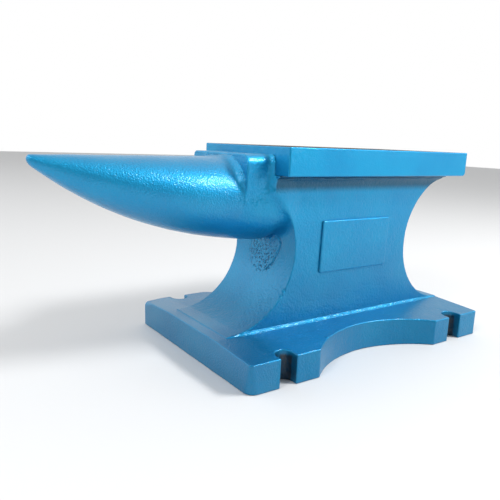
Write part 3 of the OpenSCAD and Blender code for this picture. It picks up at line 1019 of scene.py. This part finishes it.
def make_camera():
    """The photograph's viewpoint, solved from the straight edges of the base and the plate."""
    right = (0.82057, -0.57018, 0.0395)
    down = (-0.08097, -0.18437, -0.97952)
    ahead = (0.56579, 0.80056, -0.19745)
    place = (-0.4112, -0.4521, 0.2136)
    focal_px, frame_px, sensor_mm = 540, 500, 36
    data = bpy.data.cameras.new("camera")
    data.sensor_width = sensor_mm
    data.lens = focal_px / frame_px * sensor_mm
    data.clip_start = 0.01
    camera = new_object("camera", data)
    axes = Matrix((right, [-c for c in down], [-c for c in ahead])).transposed()
    camera.matrix_world = Matrix.Translation(place) @ axes.to_4x4()
    bpy.context.scene.camera = camera


def make_floor():
    """A plain pale floor."""
    half = 6.0
    corners = [(-half, -half, 0), (half, -half, 0), (half, half, 0), (-half, half, 0)]
    mesh = bpy.data.meshes.new("floor")
    mesh.from_pydata(corners, [], [(0, 1, 2, 3)])
    floor = new_object("floor", mesh)
    material, tree = new_material("pale_floor")
    shader = add_node(
        tree, "ShaderNodeBsdfPrincipled", {"Base Color": linear(FLOOR_PALE), "Roughness": 0.7})
    add_node(tree, "ShaderNodeOutputMaterial", {"Surface": shader.outputs[0]})
    mesh.materials.append(material)


def make_light(name, way, distance, size, power):
    """A square soft box that stands so many metres off in a direction, and faces the anvil."""
    data = bpy.data.lights.new(name, "AREA")
    data.shape = "RECTANGLE"
    data.size, data.size_y = size
    data.energy = power
    aim = Vector(LIGHT_AIM)
    place = aim + Vector(way).normalized() * distance
    turn = (place - aim).to_track_quat("Z", "Y")
    light = new_object(name, data)
    light.matrix_world = Matrix.Translation(place) @ turn.to_matrix().to_4x4()


def make_studio():
    """A white sweep behind and above the anvil, a dimmer room before it, and the soft boxes."""
    world = bpy.data.worlds.new("studio")
    world.use_nodes = True
    tree = world.node_tree
    tree.nodes.clear()
    way = add_node(tree, "ShaderNodeTexCoord").outputs["Generated"]
    behind = add_node(
        tree, "ShaderNodeVectorMath", {0: way, 1: SWEEP_WAY},
        operation="DOT_PRODUCT").outputs["Value"]
    room = add_node(tree, "ShaderNodeMapRange", {
        "Value": behind,
        "From Min": -0.5,
        "From Max": 0.7,
        "To Min": ROOM_LIGHT,
        "To Max": SWEEP_LIGHT}, interpolation_type="SMOOTHSTEP").outputs[0]
    # The sweep itself looks plain white from every side
    seen = add_node(tree, "ShaderNodeLightPath").outputs["Is Camera Ray"]
    strength = add_node(tree, "ShaderNodeMix", {0: seen, 2: room, 3: 1.0}).outputs[0]
    light = add_node(
        tree, "ShaderNodeBackground", {"Color": (1, 1, 1, 1), "Strength": strength})
    add_node(tree, "ShaderNodeOutputWorld", {"Surface": light.outputs[0]})
    bpy.context.scene.world = world
    bpy.context.scene.view_settings.view_transform = "Standard"
    for name, way_to_box, distance, size, power in LIGHTS:
        make_light(name, way_to_box, distance, size, power)


make_camera()
make_floor()
make_studio()

enamel = casting_enamel()
horn_enamel = smooth_enamel("enamel_on_dressed_iron", 0.85, lacquer=0.75)
slab_enamel = smooth_enamel("enamel_on_planed_steel", 0.22)
steel = browned_steel()

# The plane at the horn's root cuts the base too, and the base's end stays with the horn
casting_box = (horn_low[0], -BASE_W / 2, 0), (BASE_L / 2, BASE_W / 2, STEP_Z)
whole = meshed("casting", casting, *casting_box, CELL, CASTING_TRIANGLES)
horn, body = split_at(whole, ROOT_X, "horn_cast", "body_cast")
plate = meshed("plate_steel", face_plate, plate_low, plate_high, CELL, PLATE_TRIANGLES)
pad = meshed("pad_cast", raised_pad, pad_low, pad_high, PAD_CELL, PAD_TRIANGLES)

for piece, field, node, slot, material in (
        (body, casting, "body_casting", "casting_paint", enamel),
        (horn, casting, "horn", "horn_paint", horn_enamel),
        (plate, face_plate, "face_plate", "face_steel", slab_enamel),
        (pad, raised_pad, "raised_pad", "pad_paint", enamel)):
    piece.data.materials.append(material)
    shade_by(piece, field)
    hand_over(piece, node)
bare_top(plate, steel)

seams = weld_tree()
for name, side in (("weld_near", -1), ("weld_far", 1)):
    hand_over(weld_bead(seams, name, side, enamel), "face_weld")
